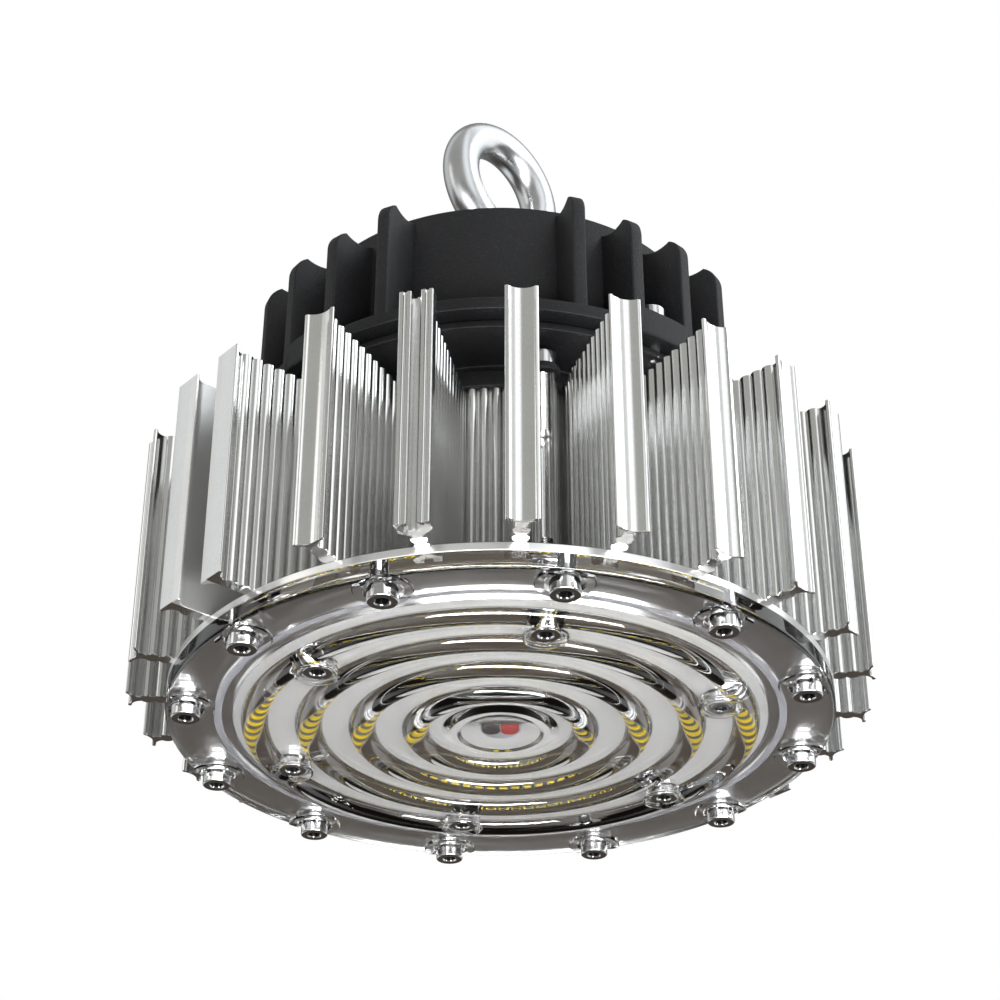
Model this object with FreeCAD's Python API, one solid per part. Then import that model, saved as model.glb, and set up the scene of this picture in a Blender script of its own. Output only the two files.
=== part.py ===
import FreeCAD, Part
import math
import os
from FreeCAD import Vector

# High bay light: a corrugated radial-fin extrusion with a clear ring lens below it,
# a ribbed driver housing above it and a lifting eye on top.
# Millimetres. +Z up, the origin is on the axis in the plane of the lens screws' faces.
# The flat-walled slot of the extrusion looks towards -Y.

os.makedirs("parts", exist_ok=True)

UP = Vector(0, 0, 1)
FIT = 0.03                      # clearance of a shank in its hole, a side

# ---- M4 socket head cap screws ----
m4_r = 2.0
m4_head_r = 3.5
m4_head_h = 4.0
m4_key = 3.0                    # across the flats of the hex socket
m4_key_depth = 2.2
m4_chamfer = 0.35

# ---- lens screws ----
rim_screw_count = 12
rim_screw_circle = 75.0
rim_screw_length = 5.9
inner_screw_count = 6
inner_screw_length = 20.0
inner_screw_face = 1.0          # height of the heads' faces
slot_direction = -90.0

# ---- clear lens ----
lens_overhang = 5.0             # of the lens and the plate past the rim screws' circle
flange_t = 3.5                  # from the rim screws' seats to the plate
rim_round = 1.0
boss_r = 6.7                    # round each rim screw
boss_drop = 0.8
boss_bore_r = 4.6
ring_radii = [20.4, 33.2, 46.0, 58.8]
ring_chips = [35, 56, 78, 100]
ridge_half = 3.3
ridge_drop = 2.7
valley_t = 2.2
pocket_half = 2.2
pocket_rise = 1.1
dome_r = 15.7
dome_drop = 1.6
cup_r = 4.6
cup_rim_r = 5.3
cup_rim_h = 1.2
cup_face = 0.2                  # height of the cups' faces
cup_bore_r = 3.75
cup_mouth_r = 4.7
seat_pad_r = 2.8

# ---- light engine ----
board_inset = 11.0              # from the rim screws' circle in to the board's edge
board_t = 1.6
board_gap = 0.3                 # between the board and the lens's inner face
chip_wide = 3.0
chip_long = 2.8
chip_t = 0.6
wire_hole_r = 4.6
plate_t = 2.0
gasket_inset = 7.5              # from the rim screws' circle in to the gasket's
gasket_w = 1.9
gasket_h = 1.2

# ---- corrugated extrusion ----
extrusion_length = 60.0
core_r = 48.5
duct_r = 6.0                    # for the leads, through the solid core
fin_count = 24
fin_tip_r = 89.7
cap_half = 3.76
cap_lip = 0.9
cap_hollow = 1.1                # depth of the concave outer face
neck = 2.6                      # height of the fillet under a cap
web_valley = 1.05               # half thickness of a web in its grooves
ridge_height = 0.85             # how far a corrugation stands out
ridges = 12
core_ridge_pitch = 2.8
slot_pitch = 16.3               # between the two fins of the flat-walled slot
slot_web = 1.5
tip_channel_half = 1.1
tip_channel_depth = 3.2
tip_channel_wall = 3.9
port_turns = [-52.5, 127.5]     # fins that end in a screw channel
tube_standoff = 5.9             # of the screw channels' centres from the core
tube_r = 3.3
tube_bore_r = m4_r + FIT
tube_slot_half = 1.3
tube_neck_half = 2.2

# ---- driver base ----
foot_overhang = 1.5             # of the foot past the core
foot_t = 4.4
ear_r = 4.2
ear_t = 2.0
foot_screw_turns = [-30.0, 90.0, 210.0]
foot_screw_length = 18.0
pedestal_step = 4.0
pedestal_wall = 4.0
tray_step = 3.3                 # from the housing's flange in to the tray's edge
tray_t = 2.0
seal_w = 3.0
seal_offset = 3.8               # of the seal's middle from the housing's wall
seal_t = 1.0

# ---- driver housing ----
housing_r = 52.2
housing_wall = 3.0
housing_top = 121.2             # height of the rim above the origin
panel_half = 21.5               # angle from a panel's middle to its first rib
rim_h = 1.6
deck_t = 4.0
flange_overhang = 13.1
flange_h = 3.4
rib_t = 3.4
rib_pitch = 13.7
ribs_a_group = 4
rib_drop = 5.0                  # of the ribs' tops below the rim
panel_rib_drop = 2.4            # the ribs beside the panels are taller
panel_direction = -45.0
lug_h = 4.2
lug_screw_offset = 7.8          # from the housing's wall
lug_screw_length = 10.4
turret_r = 12.9
turret_flare = 3.2
turret_skin = 2.4
turret_h = 18.0
turret_wall = 6.0

# ---- lifting eye ----
eye_turn = 95.6
eye_r = 15.55                   # of the ring's centre line
eye_wire_r = 5.0
eye_collar_r = 11.0
eye_collar_h = 3.4
eye_shank_r = 5.0
eye_centre = 168.5
washer_t = 2.0
eye_nut_h = 8.0
eye_nut_flats = 17.0

# ---- driver ----
post_r = 3.0
post_h = 6.0
post_inset = 4.0
driver_board_gap = 5.2          # from the housing's wall
driver_board_t = 1.6
post_screw_r = 1.5
post_screw_l = 5.0
post_head_r = 2.8
post_head_h = 1.8
post_turns = [0.0, 90.0, 180.0, 270.0]
transformer_size = (24.0, 28.0, 20.0)
transformer_spot = (22.0, -75.0)
capacitor_r = 6.3
capacitor_h = 21.0
capacitor_circle = 27.0
capacitor_turns = [15.0, 45.0, 75.0]
terminal_size = (8.0, 17.0, 10.0)
terminal_spot = (32.0, 135.0)
wire_r = 1.3
wire_gap = 2.2                  # of each wire's centre from the axis
wire_turn = 49.5
wire_end = 0.2                  # how far the wires reach below the board

# ---- cable gland ----
gland_inset = 2.5               # from the housing's wall to its lock nut's corners
gland_turn = 135.0
gland_thread_r = 8.0
gland_flats = 20.0
gland_body_h = 5.0
gland_dome_r = 9.0
gland_dome_h = 11.0
gland_cable_r = 4.2
gland_bore_r = 5.6
gland_neck_r = 7.6
gland_neck_h = 4.0
gland_seal_t = 1.0
gland_nut_h = 4.5

# ---- radii that follow from the sizes above ----
lens_r = rim_screw_circle + lens_overhang
plate_r = lens_r
board_r = rim_screw_circle - board_inset
gasket_r = rim_screw_circle - gasket_inset
inner_screw_circle = core_r + tube_standoff
foot_r = core_r + foot_overhang
pedestal_r = foot_r - pedestal_step
flange_r = housing_r + flange_overhang
tray_r = flange_r - tray_step
seal_r = housing_r + seal_offset
lug_screw_circle = housing_r + lug_screw_offset
driver_board_r = housing_r - housing_wall - driver_board_gap
post_circle = driver_board_r - post_inset
gland_circle = housing_r - housing_wall - gland_inset - (gland_flats + 2) / math.sqrt(3)
turret_foot_r = turret_r + turret_flare

# ---- heights that follow from the sizes above ----
rim_seat = m4_head_h
plate_bottom = rim_seat + flange_t
board_face = plate_bottom - board_t
lens_face = board_face - board_gap
inner_seat = inner_screw_face + m4_head_h
valley_face = lens_face - valley_t
fins_bottom = plate_bottom + plate_t
fins_top = fins_bottom + extrusion_length
foot_top = fins_top + foot_t
ear_top = fins_top + ear_t
seal_bottom = 79.9              # top face of the tray
flange_bottom = seal_bottom + seal_t
flange_top = flange_bottom + flange_h
lug_top = flange_top + lug_h
deck_top = housing_top - rim_h
deck_bottom = deck_top - deck_t
turret_top = deck_top + turret_h
post_bottom = seal_bottom
driver_bottom = post_bottom + post_h
driver_top = driver_bottom + driver_board_t


def polar(r, turn, z=0.0):
    a = math.radians(turn)
    return Vector(r * math.cos(a), r * math.sin(a), z)


def cylinder(r, low, high, centre=Vector(0, 0, 0)):
    return Part.makeCylinder(r, high - low, Vector(centre.x, centre.y, low), UP)


def face_of(place, start, steps):
    """A face from a path: each step is a point, or a (middle, end) pair for an arc."""
    edges = []
    here = start
    for step in steps:
        if isinstance(step[0], tuple):
            middle, end = step
            edges.append(Part.Arc(place(*here), place(*middle), place(*end)).toShape())
        else:
            end = step
            edges.append(Part.makeLine(place(*here), place(*end)))
        here = end
    if math.dist(here, start) > 1e-6:
        edges.append(Part.makeLine(place(*here), place(*start)))
    return Part.Face(Part.Wire(edges))


def turned(start, steps):
    """A solid of revolution about the axis, from a path in radius and height."""
    section = face_of(lambda r, z: Vector(r, 0, z), start, steps)
    return section.revolve(Vector(0, 0, 0), UP, 360)


def crown(r, edge, top):
    """The (middle, end) of a spherical crown's arc, from radius r up or down to the axis."""
    rise = top - edge
    ball = (r * r + rise * rise) / (2 * rise)
    half = math.asin(r / abs(ball)) / 2
    return (abs(ball) * math.sin(half), top - ball + ball * math.cos(half)), (0, top)


def ring(outer, inner, low, high):
    return turned((inner, low), [(outer, low), (outer, high), (inner, high)])


def around(shape, turns):
    copies = []
    for turn in turns:
        copy = shape.copy()
        copy.rotate(Vector(0, 0, 0), UP, turn)
        copies.append(copy)
    return copies


def every(count, start=0.0):
    return [start + i * 360.0 / count for i in range(count)]


def hexagon(flats, low, high, centre=Vector(0, 0, 0)):
    corner_r = flats / math.sqrt(3)
    corners = [centre + polar(corner_r, 30 + i * 60, low) for i in range(7)]
    return Part.Face(Part.makePolygon(corners)).extrude(Vector(0, 0, high - low))


def cap_screw(length):
    """An M4 screw: the face of its head at z = 0, the thread upwards."""
    c = m4_chamfer
    body = turned((0, 0), [(m4_head_r - c, 0), (m4_head_r, c), (m4_head_r, m4_head_h),
                           (m4_r, m4_head_h), (m4_r, m4_head_h + length - c),
                           (m4_r - c, m4_head_h + length), (0, m4_head_h + length)])
    return body.cut(hexagon(m4_key, -1, m4_key_depth))


def save(name, solids):
    shape = Part.makeCompound(solids) if isinstance(solids, list) else solids
    shape.exportStep("parts/" + name + ".step")


inner_turns = every(inner_screw_count, slot_direction)
rim_turns = every(rim_screw_count)


# ---- lens ----
def ridge_steps(r):
    """One toroidal ridge of the outer face, walked towards the axis."""
    return [(r + ridge_half, valley_face),
            ((r, valley_face - ridge_drop), (r - ridge_half, valley_face))]


def make_lens():
    """A flat flange and five crowns of clear plastic, with a boss or a cup round each screw."""
    bend = rim_round * (1 - math.sqrt(0.5))
    path = [(lens_r, valley_face + rim_round),
            ((lens_r - bend, valley_face + bend), (lens_r - rim_round, valley_face))]
    for r in reversed(ring_radii):
        path += ridge_steps(r)
    path += [(dome_r, valley_face), crown(dome_r, valley_face, valley_face - dome_drop),
             (0, lens_face), (board_r + 0.5, lens_face), (board_r + 0.5, plate_bottom)]
    lens = turned((lens_r, plate_bottom), path)
    pockets = [turned((r - pocket_half, lens_face),
                      [((r, lens_face - pocket_rise), (r + pocket_half, lens_face))])
               for r in ring_radii]
    lens = lens.cut(pockets)
    cup = turned((0, cup_face), [
        (cup_rim_r, cup_face), (cup_rim_r, cup_face + cup_rim_h * 0.6),
        (cup_r, cup_face + cup_rim_h), (cup_r, lens_face - 0.2), (seat_pad_r, lens_face - 0.2),
        (seat_pad_r, board_face), (0, board_face)])
    cup.translate(polar(inner_screw_circle, 0))
    boss = cylinder(boss_r, valley_face - boss_drop, rim_seat + 0.5, polar(rim_screw_circle, 0))
    boss = boss.common(cylinder(lens_r - rim_round, 0, plate_bottom))
    lens = lens.fuse(around(cup, inner_turns) + around(boss, rim_turns))
    groove = ring(gasket_r + gasket_w / 2, gasket_r - gasket_w / 2,
                  plate_bottom - gasket_h, plate_bottom + 1)
    shelf = ring(ring_radii[-1] + chip_wide / 2 + 0.2, ring_radii[-1] - chip_wide / 2 - 0.1,
                 board_face - chip_t - 0.1, lens_face + 0.01)
    bore = turned((0, -1), [(cup_mouth_r, -1), (cup_mouth_r, cup_face),
                            (cup_bore_r, inner_screw_face), (cup_bore_r, inner_seat),
                            (0, inner_seat)])
    bore.translate(polar(inner_screw_circle, 0))
    seat = cylinder(boss_bore_r, -1, rim_seat, polar(rim_screw_circle, 0))
    hole = cylinder(m4_r + FIT, -1, plate_bottom, polar(inner_screw_circle, 0))
    rim_hole = cylinder(m4_r + FIT, -1, plate_bottom + 1, polar(rim_screw_circle, 0))
    return lens.cut([groove, shelf] + around(bore, inner_turns) + around(hole, inner_turns)
                    + around(seat, rim_turns) + around(rim_hole, rim_turns))


# ---- board with its rings of light emitters ----
def make_board():
    board = cylinder(board_r, board_face, plate_bottom)
    hole = cylinder(m4_r + FIT, board_face - 1, plate_bottom + 1, polar(inner_screw_circle, 0))
    return board.cut([cylinder(wire_hole_r, board_face - 1, plate_bottom + 1)]
                     + around(hole, inner_turns))


def make_chips(r, count):
    chip = Part.makeBox(chip_wide, chip_long, chip_t,
                        Vector(r - chip_wide / 2, -chip_long / 2, board_face - chip_t))
    return around(chip, every(count, slot_direction + 180.0 / count))


def make_plate():
    plate = cylinder(plate_r, plate_bottom, fins_bottom)
    low, high = plate_bottom - 1, fins_bottom + 1
    rim_hole = cylinder(m4_r + FIT, low, high, polar(rim_screw_circle, 0))
    hole = cylinder(m4_r + FIT, low, high, polar(inner_screw_circle, 0))
    return plate.cut([cylinder(wire_hole_r, low, high)]
                     + around(rim_hole, rim_turns) + around(hole, inner_turns))


# ---- corrugated extrusion: one closed outline walked anticlockwise ----
def mirrored(steps):
    """The same path on the other side of the fin's centre line."""
    flip = []
    for step in steps:
        if isinstance(step[0], tuple):
            flip.append(tuple((u, -v) for u, v in step))
        else:
            flip.append((step[0], -step[1]))
    return flip


def backwards(start, steps):
    """The same path walked from its end to its start."""
    ends = [start] + [s[1] if isinstance(s[0], tuple) else s for s in steps]
    back = []
    for i in range(len(steps) - 1, -1, -1):
        step = steps[i]
        back.append((step[0], ends[i]) if isinstance(step[0], tuple) else ends[i])
    return ends[-1], back


def corrugated(u_end):
    """Rounded ridges from the core to the neck, on the +v side of a web."""
    u_start = math.sqrt(core_r ** 2 - web_valley ** 2)
    pitch = (u_end - u_start) / ridges
    crest = web_valley + ridge_height
    steps = []
    for i in range(ridges):
        low = u_start + i * pitch
        steps.append((low + pitch * 0.25, crest))
        steps.append((low + pitch * 0.75, crest))
        steps.append((low + pitch, web_valley))
    return (u_start, web_valley), steps


def plain(u_end):
    """A flat wall of the slot, on the +v side of a web."""
    return (math.sqrt(core_r ** 2 - slot_web ** 2), slot_web), [(u_end, slot_web)]


def cap_side(web):
    """From the neck round the cap's lip to its tip, on the +v side."""
    under = fin_tip_r - cap_lip
    root = under - neck
    bend = ((under - neck * 0.3, web + neck * 0.3), (under, web + neck * 0.8))
    return root, [bend, (under, cap_half), (fin_tip_r, cap_half)]


def port_side():
    """From the neck round the wall of a tip channel to its mouth, on the +v side."""
    floor = fin_tip_r - tip_channel_depth
    root = floor - neck
    bend = ((floor - neck * 0.75, web_valley + neck * 0.35), (floor - neck * 0.3, tip_channel_wall))
    middle = (tip_channel_wall + tip_channel_half) / 2
    return root, [bend, (fin_tip_r, tip_channel_wall), (fin_tip_r, middle + 0.4),
                  (fin_tip_r - 0.4, middle), (fin_tip_r, middle - 0.4),
                  (fin_tip_r, tip_channel_half), (floor, tip_channel_half),
                  (floor, 0.5), (floor + 0.5, 0.3)]


def fin_half(kind):
    """Half a fin on its +v side, from the core to the tip."""
    if kind == "port":
        root, end = port_side()
        start, steps = corrugated(root)
    elif kind == "plain":
        root, end = cap_side(slot_web)
        start, steps = plain(root)
    else:
        root, end = cap_side(web_valley)
        start, steps = corrugated(root)
    return start, steps + end


def fin_path(low_kind, high_kind):
    """A whole fin: out along its low side, back along its high side."""
    start, out = fin_half(low_kind)
    start = (start[0], -start[1])
    back_start, back = backwards(*fin_half(high_kind))
    if low_kind == "cap":
        across = [((fin_tip_r - cap_hollow, 0), back_start)]
    else:
        across = [back_start]
    return start, mirrored(out) + across + back


def tube_path():
    """A screw channel on the core, open to the outside along a slot."""
    u = inner_screw_circle
    foot = math.sqrt(core_r ** 2 - tube_neck_half ** 2)
    join = u - math.sqrt(tube_r ** 2 - tube_neck_half ** 2)
    lip = u + math.sqrt(tube_r ** 2 - tube_slot_half ** 2)
    mouth = u + math.sqrt(tube_bore_r ** 2 - tube_slot_half ** 2)
    return (foot, -tube_neck_half), [
        (join, -tube_neck_half), ((u, -tube_r), (lip, -tube_slot_half)),
        (mouth, -tube_slot_half), ((u - tube_bore_r, 0), (mouth, tube_slot_half)),
        (lip, tube_slot_half), ((u, tube_r), (join, tube_neck_half)), (foot, tube_neck_half)]


def shifted(start, steps, v_shift):
    """A path beside the slot's axis instead of on it, with its ends back on the core."""
    def move(u, v):
        v = v + v_shift
        return (u, v)
    moved = [tuple(move(*p) for p in s) if isinstance(s[0], tuple) else move(*s) for s in steps]
    first, last = move(*start), moved[-1]
    first = (math.sqrt(core_r ** 2 - first[1] ** 2), first[1])
    moved[-1] = (math.sqrt(core_r ** 2 - last[1] ** 2), last[1])
    return first, moved


def placed(turn, start, steps):
    """A path turned about the axis."""
    a = math.radians(turn)

    def move(u, v):
        return (u * math.cos(a) - v * math.sin(a), u * math.sin(a) + v * math.cos(a))
    return move(*start), [tuple(move(*p) for p in s) if isinstance(s[0], tuple) else move(*s)
                          for s in steps]


def plain_core(start, end):
    low = math.degrees(math.atan2(start[1], start[0]))
    span = (math.degrees(math.atan2(end[1], end[0])) - low) % 360
    middle = polar(core_r, low + span / 2)
    return [((middle.x, middle.y), end)]


def ridged_core(start, end):
    """The core between two webs, with ridges like theirs but clear of their first ones."""
    clear = math.degrees((ridge_height + 0.1) / core_r)
    low = math.degrees(math.atan2(start[1], start[0])) + clear
    span = (math.degrees(math.atan2(end[1], end[0])) - clear - low) % 360
    count = max(1, round(math.radians(span) * core_r / core_ridge_pitch))
    steps = []
    for i in range(count):
        for share, rise in ((0.0, 0), (0.25, ridge_height), (0.75, ridge_height)):
            spot = polar(core_r + rise, low + span * (i + share) / count)
            steps.append((spot.x, spot.y))
    last = polar(core_r, low + span)
    return steps + [(last.x, last.y), end]


def in_slot(turn):
    """Whether a piece of the outline stands in or beside one of the two wide slots."""
    return abs((turn - slot_direction + 90) % 180 - 90) < 6


def make_extrusion():
    pieces = []
    for i in range(fin_count):
        turn = slot_direction + (i + 0.5) * 360.0 / fin_count
        if i in (0, fin_count // 2 - 1, fin_count // 2, fin_count - 1):
            continue
        kind = "port" if any(abs(turn - t) < 1 for t in port_turns) else "cap"
        pieces.append((turn, placed(turn, *fin_path(kind, kind))))
    for axis in (slot_direction, slot_direction + 180):
        low = shifted(*fin_path("flat", "plain"), -slot_pitch / 2)
        high = shifted(*fin_path("plain", "flat"), slot_pitch / 2)
        pieces.append((axis - 5, placed(axis, *low)))
        pieces.append((axis + 5, placed(axis, *high)))
    for turn in inner_turns:
        pieces.append((turn, placed(turn, *tube_path())))
    pieces.sort(key=lambda piece: (piece[0] + 360) % 360)
    first = pieces[0][1][0]
    path = []
    for n, (turn, (start, steps)) in enumerate(pieces):
        path += steps
        end = path[-1] if not isinstance(path[-1][0], tuple) else path[-1][1]
        next_turn, (following, next_steps) = pieces[(n + 1) % len(pieces)]
        wall = plain_core if in_slot(turn) and in_slot(next_turn) else ridged_core
        path += wall(end, following)
    outer = face_of(lambda x, y: Vector(x, y, fins_bottom), first, path)
    body = outer.extrude(Vector(0, 0, extrusion_length))
    return body.cut(cylinder(duct_r, fins_bottom - 1, fins_top + 1))


# ---- driver base: foot with ears, pedestal and tray, cast as one ----
def make_base():
    foot = cylinder(foot_r, fins_top, foot_top)
    ear = cylinder(ear_r, fins_top, ear_top, polar(inner_screw_circle, 0))
    tab = Part.makeBox(tube_standoff + ear_r, 2 * ear_r, ear_t,
                       Vector(core_r - ear_r, -ear_r, fins_top))
    ears = around(ear.fuse(tab), foot_screw_turns)
    pedestal = cylinder(pedestal_r, fins_top, seal_bottom)
    tray = cylinder(tray_r, seal_bottom - tray_t, seal_bottom)
    body = foot.fuse(ears + [pedestal, tray])
    hollow = cylinder(pedestal_r - pedestal_wall, foot_top, seal_bottom - tray_t)
    bolts = [cylinder(m4_r + FIT, fins_top - 1, foot_top + 1, polar(inner_screw_circle, t))
             for t in foot_screw_turns]
    holes = [cylinder(m4_r + FIT, seal_bottom - tray_t - 1, seal_bottom + 1,
                      polar(lug_screw_circle, t)) for t in lug_turns]
    wires = cylinder(wire_hole_r, fins_top - 1, seal_bottom + 1)
    return body.cut([hollow, wires] + bolts + holes)


def make_foot_screws():
    screw = cap_screw(foot_screw_length)
    screw.rotate(Vector(0, 0, 0), Vector(1, 0, 0), 180)
    screw.translate(polar(inner_screw_circle, 0, ear_top + m4_head_h))
    return around(screw, foot_screw_turns)


# ---- driver housing: one ribbed casting ----
panels = (panel_direction, panel_direction + 180)
lug_turns = [axis + side * (panel_half + 1.5 * rib_pitch) for axis in panels for side in (-1, 1)]


def make_rib(top):
    section = face_of(
        lambda r, z: Vector(r, -rib_t / 2, z),
        (housing_r - 1.5, flange_bottom),
        [(flange_r - 0.1, flange_bottom), (flange_r - 0.3, top - 6.0),
         ((flange_r - 1.3, top - 2.4), (flange_r - 3.8, top)),
         ((flange_r - 7.4, top - 0.7), (housing_r - 0.6, top + 1.7)),
         (housing_r - 1.5, top + 1.7)])
    return section.extrude(Vector(0, rib_t, 0))


def sector(outer, inner, low, high, half):
    """A piece of a ring, half an angle to either side of +X."""
    piece = Part.makeCylinder(outer, high - low, polar(0, 0, low), UP, 2 * half)
    piece.rotate(Vector(0, 0, 0), UP, -half)
    return piece.cut(cylinder(inner, low - 1, high + 1))


def make_housing():
    inner = housing_r - housing_wall
    shell = turned((inner, flange_bottom), [
        (flange_r, flange_bottom), (flange_r, flange_top), (housing_r, flange_top),
        (housing_r, housing_top - 0.6), (housing_r - 0.6, housing_top),
        (housing_r - 1.8, housing_top), (housing_r - 2.2, deck_top),
        (turret_foot_r, deck_top),
        ((turret_r + turret_flare / 2, deck_top + 3), (turret_r, turret_top - 1)),
        (turret_r - 1, turret_top), (0, turret_top), (0, turret_top - turret_wall),
        (turret_r - turret_skin, turret_top - turret_wall),
        (turret_r - turret_skin, deck_bottom), (inner, deck_bottom)])
    ribs = []
    for i in range(ribs_a_group):
        rib = make_rib(housing_top - (panel_rib_drop if i == 0 else rib_drop))
        turn = panel_half + i * rib_pitch
        ribs += around(rib, [axis + side * turn for axis in panels for side in (-1, 1)])
    lugs = around(sector(flange_r, housing_r - 1, flange_top, lug_top, rib_pitch / 2), lug_turns)
    body = shell.fuse(ribs + lugs)
    holes = [cylinder(m4_r + FIT, flange_bottom - 1, lug_top + 1, polar(lug_screw_circle, t))
             for t in lug_turns]
    eye = cylinder(eye_shank_r + FIT, deck_bottom, turret_top + 1)
    gland = cylinder(gland_thread_r + FIT, deck_bottom - 1, deck_top + 1,
                     polar(gland_circle, gland_turn))
    return body.cut(holes + [eye, gland])


def make_housing_screws():
    screw = cap_screw(lug_screw_length)
    screw.rotate(Vector(0, 0, 0), Vector(1, 0, 0), 180)
    screw.translate(polar(lug_screw_circle, 0, lug_top + m4_head_h))
    return around(screw, lug_turns)


# ---- lifting eye ----
def make_eye():
    ring_body = Part.makeTorus(eye_r, eye_wire_r, Vector(0, 0, 0), UP)
    ring_body.rotate(Vector(0, 0, 0), Vector(1, 0, 0), 90)
    ring_body.rotate(Vector(0, 0, 0), UP, eye_turn)
    ring_body.translate(Vector(0, 0, eye_centre))
    seat = turret_top + washer_t
    ring_low = eye_centre - eye_r
    stem = turned((0, turret_top - turret_wall - eye_nut_h - 2), [
        (eye_shank_r, turret_top - turret_wall - eye_nut_h - 2), (eye_shank_r, seat),
        (eye_collar_r, seat), (eye_collar_r, seat + eye_collar_h - 0.6),
        (eye_collar_r - 0.6, seat + eye_collar_h), (eye_collar_r - 2.5, seat + eye_collar_h),
        ((eye_wire_r + 1.6, seat + eye_collar_h + 1.4), (eye_wire_r - 0.4, ring_low)),
        (0, ring_low)])
    return ring_body.fuse(stem)


def make_eye_nut():
    high = turret_top - turret_wall
    nut = hexagon(eye_nut_flats, high - eye_nut_h, high)
    return nut.cut(cylinder(eye_shank_r + FIT, high - eye_nut_h - 1, high + 1))


# ---- cable gland: body and thread in one, lock nut, seal and dome nut ----
gland_seat = deck_top + gland_seal_t


def make_gland_body():
    low = deck_bottom - gland_nut_h - 1.0
    body = hexagon(gland_flats, gland_seat, gland_seat + gland_body_h)
    body = body.fuse([cylinder(gland_thread_r, low, gland_seat),
                      cylinder(gland_neck_r, gland_seat, gland_seat + gland_body_h + gland_neck_h)])
    return body.cut(cylinder(gland_bore_r, low - 1, gland_seat + gland_body_h + gland_neck_h + 1))


def make_gland_dome():
    low = gland_seat + gland_body_h
    high = low + gland_dome_h
    return turned((gland_neck_r + FIT, low), [
        (gland_dome_r, low), (gland_dome_r, high - 4.0),
        ((gland_dome_r - 1.2, high - 1.2), (gland_dome_r - 4.0, high)),
        (gland_cable_r, high), (gland_cable_r, low + gland_neck_h + 0.5),
        (gland_neck_r + FIT, low + gland_neck_h + 0.5)])


def make_gland_insert():
    low = gland_seat + gland_body_h
    return ring(gland_bore_r - FIT, gland_cable_r - 1.0, low - 3.0, low + gland_neck_h + 0.2)


def at_gland(shape):
    shape.translate(polar(gland_circle, gland_turn))
    return shape


# ---- driver: board on posts with its parts, and the leads to the light engine ----
def make_driver_board():
    board = cylinder(driver_board_r, driver_bottom, driver_top)
    holes = [cylinder(post_screw_r + FIT, driver_bottom - 1, driver_top + 1, polar(post_circle, t))
             for t in post_turns]
    return board.cut(holes)


def make_posts():
    post = cylinder(post_r, post_bottom, driver_bottom)
    return around(post.cut(cylinder(post_screw_r + FIT, post_bottom + 1.5, driver_bottom + 1))
                  .translate(polar(post_circle, 0)), post_turns)


def make_post_screws():
    screw = turned((0, driver_top - post_screw_l), [
        (post_screw_r, driver_top - post_screw_l), (post_screw_r, driver_top),
        (post_head_r, driver_top), crown(post_head_r, driver_top, driver_top + post_head_h)])
    return around(screw.translate(polar(post_circle, 0)), post_turns)


def box_on_board(length, width, height, r, turn):
    box = Part.makeBox(length, width, height, Vector(r - length / 2, -width / 2, driver_top))
    box.rotate(Vector(0, 0, 0), UP, turn)
    return box


def make_lead(side):
    spot = polar(side * wire_gap, wire_turn)
    return cylinder(wire_r, board_face - wire_end, driver_bottom, spot)


def make_grommet():
    plug = cylinder(wire_hole_r - FIT, board_face, fins_bottom)
    return plug.cut([cylinder(wire_r + FIT, board_face - 1, fins_bottom + 1,
                              polar(side * wire_gap, wire_turn)) for side in (-1, 1)])


save("lens", make_lens())
save("lens_gasket", ring(gasket_r + gasket_w / 2 - FIT, gasket_r - gasket_w / 2 + FIT,
                         plate_bottom - gasket_h, plate_bottom))
save("led_board", make_board())
for number, (r, count) in enumerate(zip(ring_radii, ring_chips), 1):
    save("led_ring_%d" % number, make_chips(r, count))
save("base_plate", make_plate())
save("heatsink", make_extrusion())
save("lens_rim_screws", around(cap_screw(rim_screw_length).translate(polar(rim_screw_circle, 0)),
                               rim_turns))
save("lens_inner_screws",
     around(cap_screw(inner_screw_length).translate(polar(inner_screw_circle, 0, inner_screw_face)),
            inner_turns))
save("driver_base", make_base())
save("foot_screws", make_foot_screws())
save("housing_gasket", ring(seal_r + seal_w / 2, seal_r - seal_w / 2, seal_bottom, flange_bottom))
save("driver_housing", make_housing())
save("housing_screws", make_housing_screws())
save("eye_bolt", make_eye())
save("eye_washer", ring(eye_collar_r, eye_shank_r + FIT, turret_top, turret_top + washer_t))
save("eye_nut", make_eye_nut())
save("gland_seal", at_gland(ring(gland_flats / 2 - 0.3, gland_thread_r + FIT, deck_top, gland_seat)))
save("gland_body", at_gland(make_gland_body()))
save("gland_insert", at_gland(make_gland_insert()))
save("gland_dome_nut", at_gland(make_gland_dome()))
save("gland_lock_nut", at_gland(
    hexagon(gland_flats + 2, deck_bottom - gland_nut_h, deck_bottom)
    .cut(cylinder(gland_thread_r + FIT, deck_bottom - gland_nut_h - 1, deck_bottom + 1))))
save("driver_posts", make_posts())
save("driver_board", make_driver_board())
save("driver_board_screws", make_post_screws())
save("driver_transformer", box_on_board(*transformer_size, *transformer_spot))
save("driver_capacitors", [cylinder(capacitor_r, driver_top, driver_top + capacitor_h,
                                    polar(capacitor_circle, t)) for t in capacitor_turns])
save("terminal_block", box_on_board(*terminal_size, *terminal_spot))
save("wire_grommet", make_grommet())
save("black_lead", make_lead(-1))
save("red_lead", make_lead(1))
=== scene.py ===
import bpy
import bmesh
import math
import numpy as np
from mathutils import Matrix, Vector
from mathutils.geometry import tessellate_polygon


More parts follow.
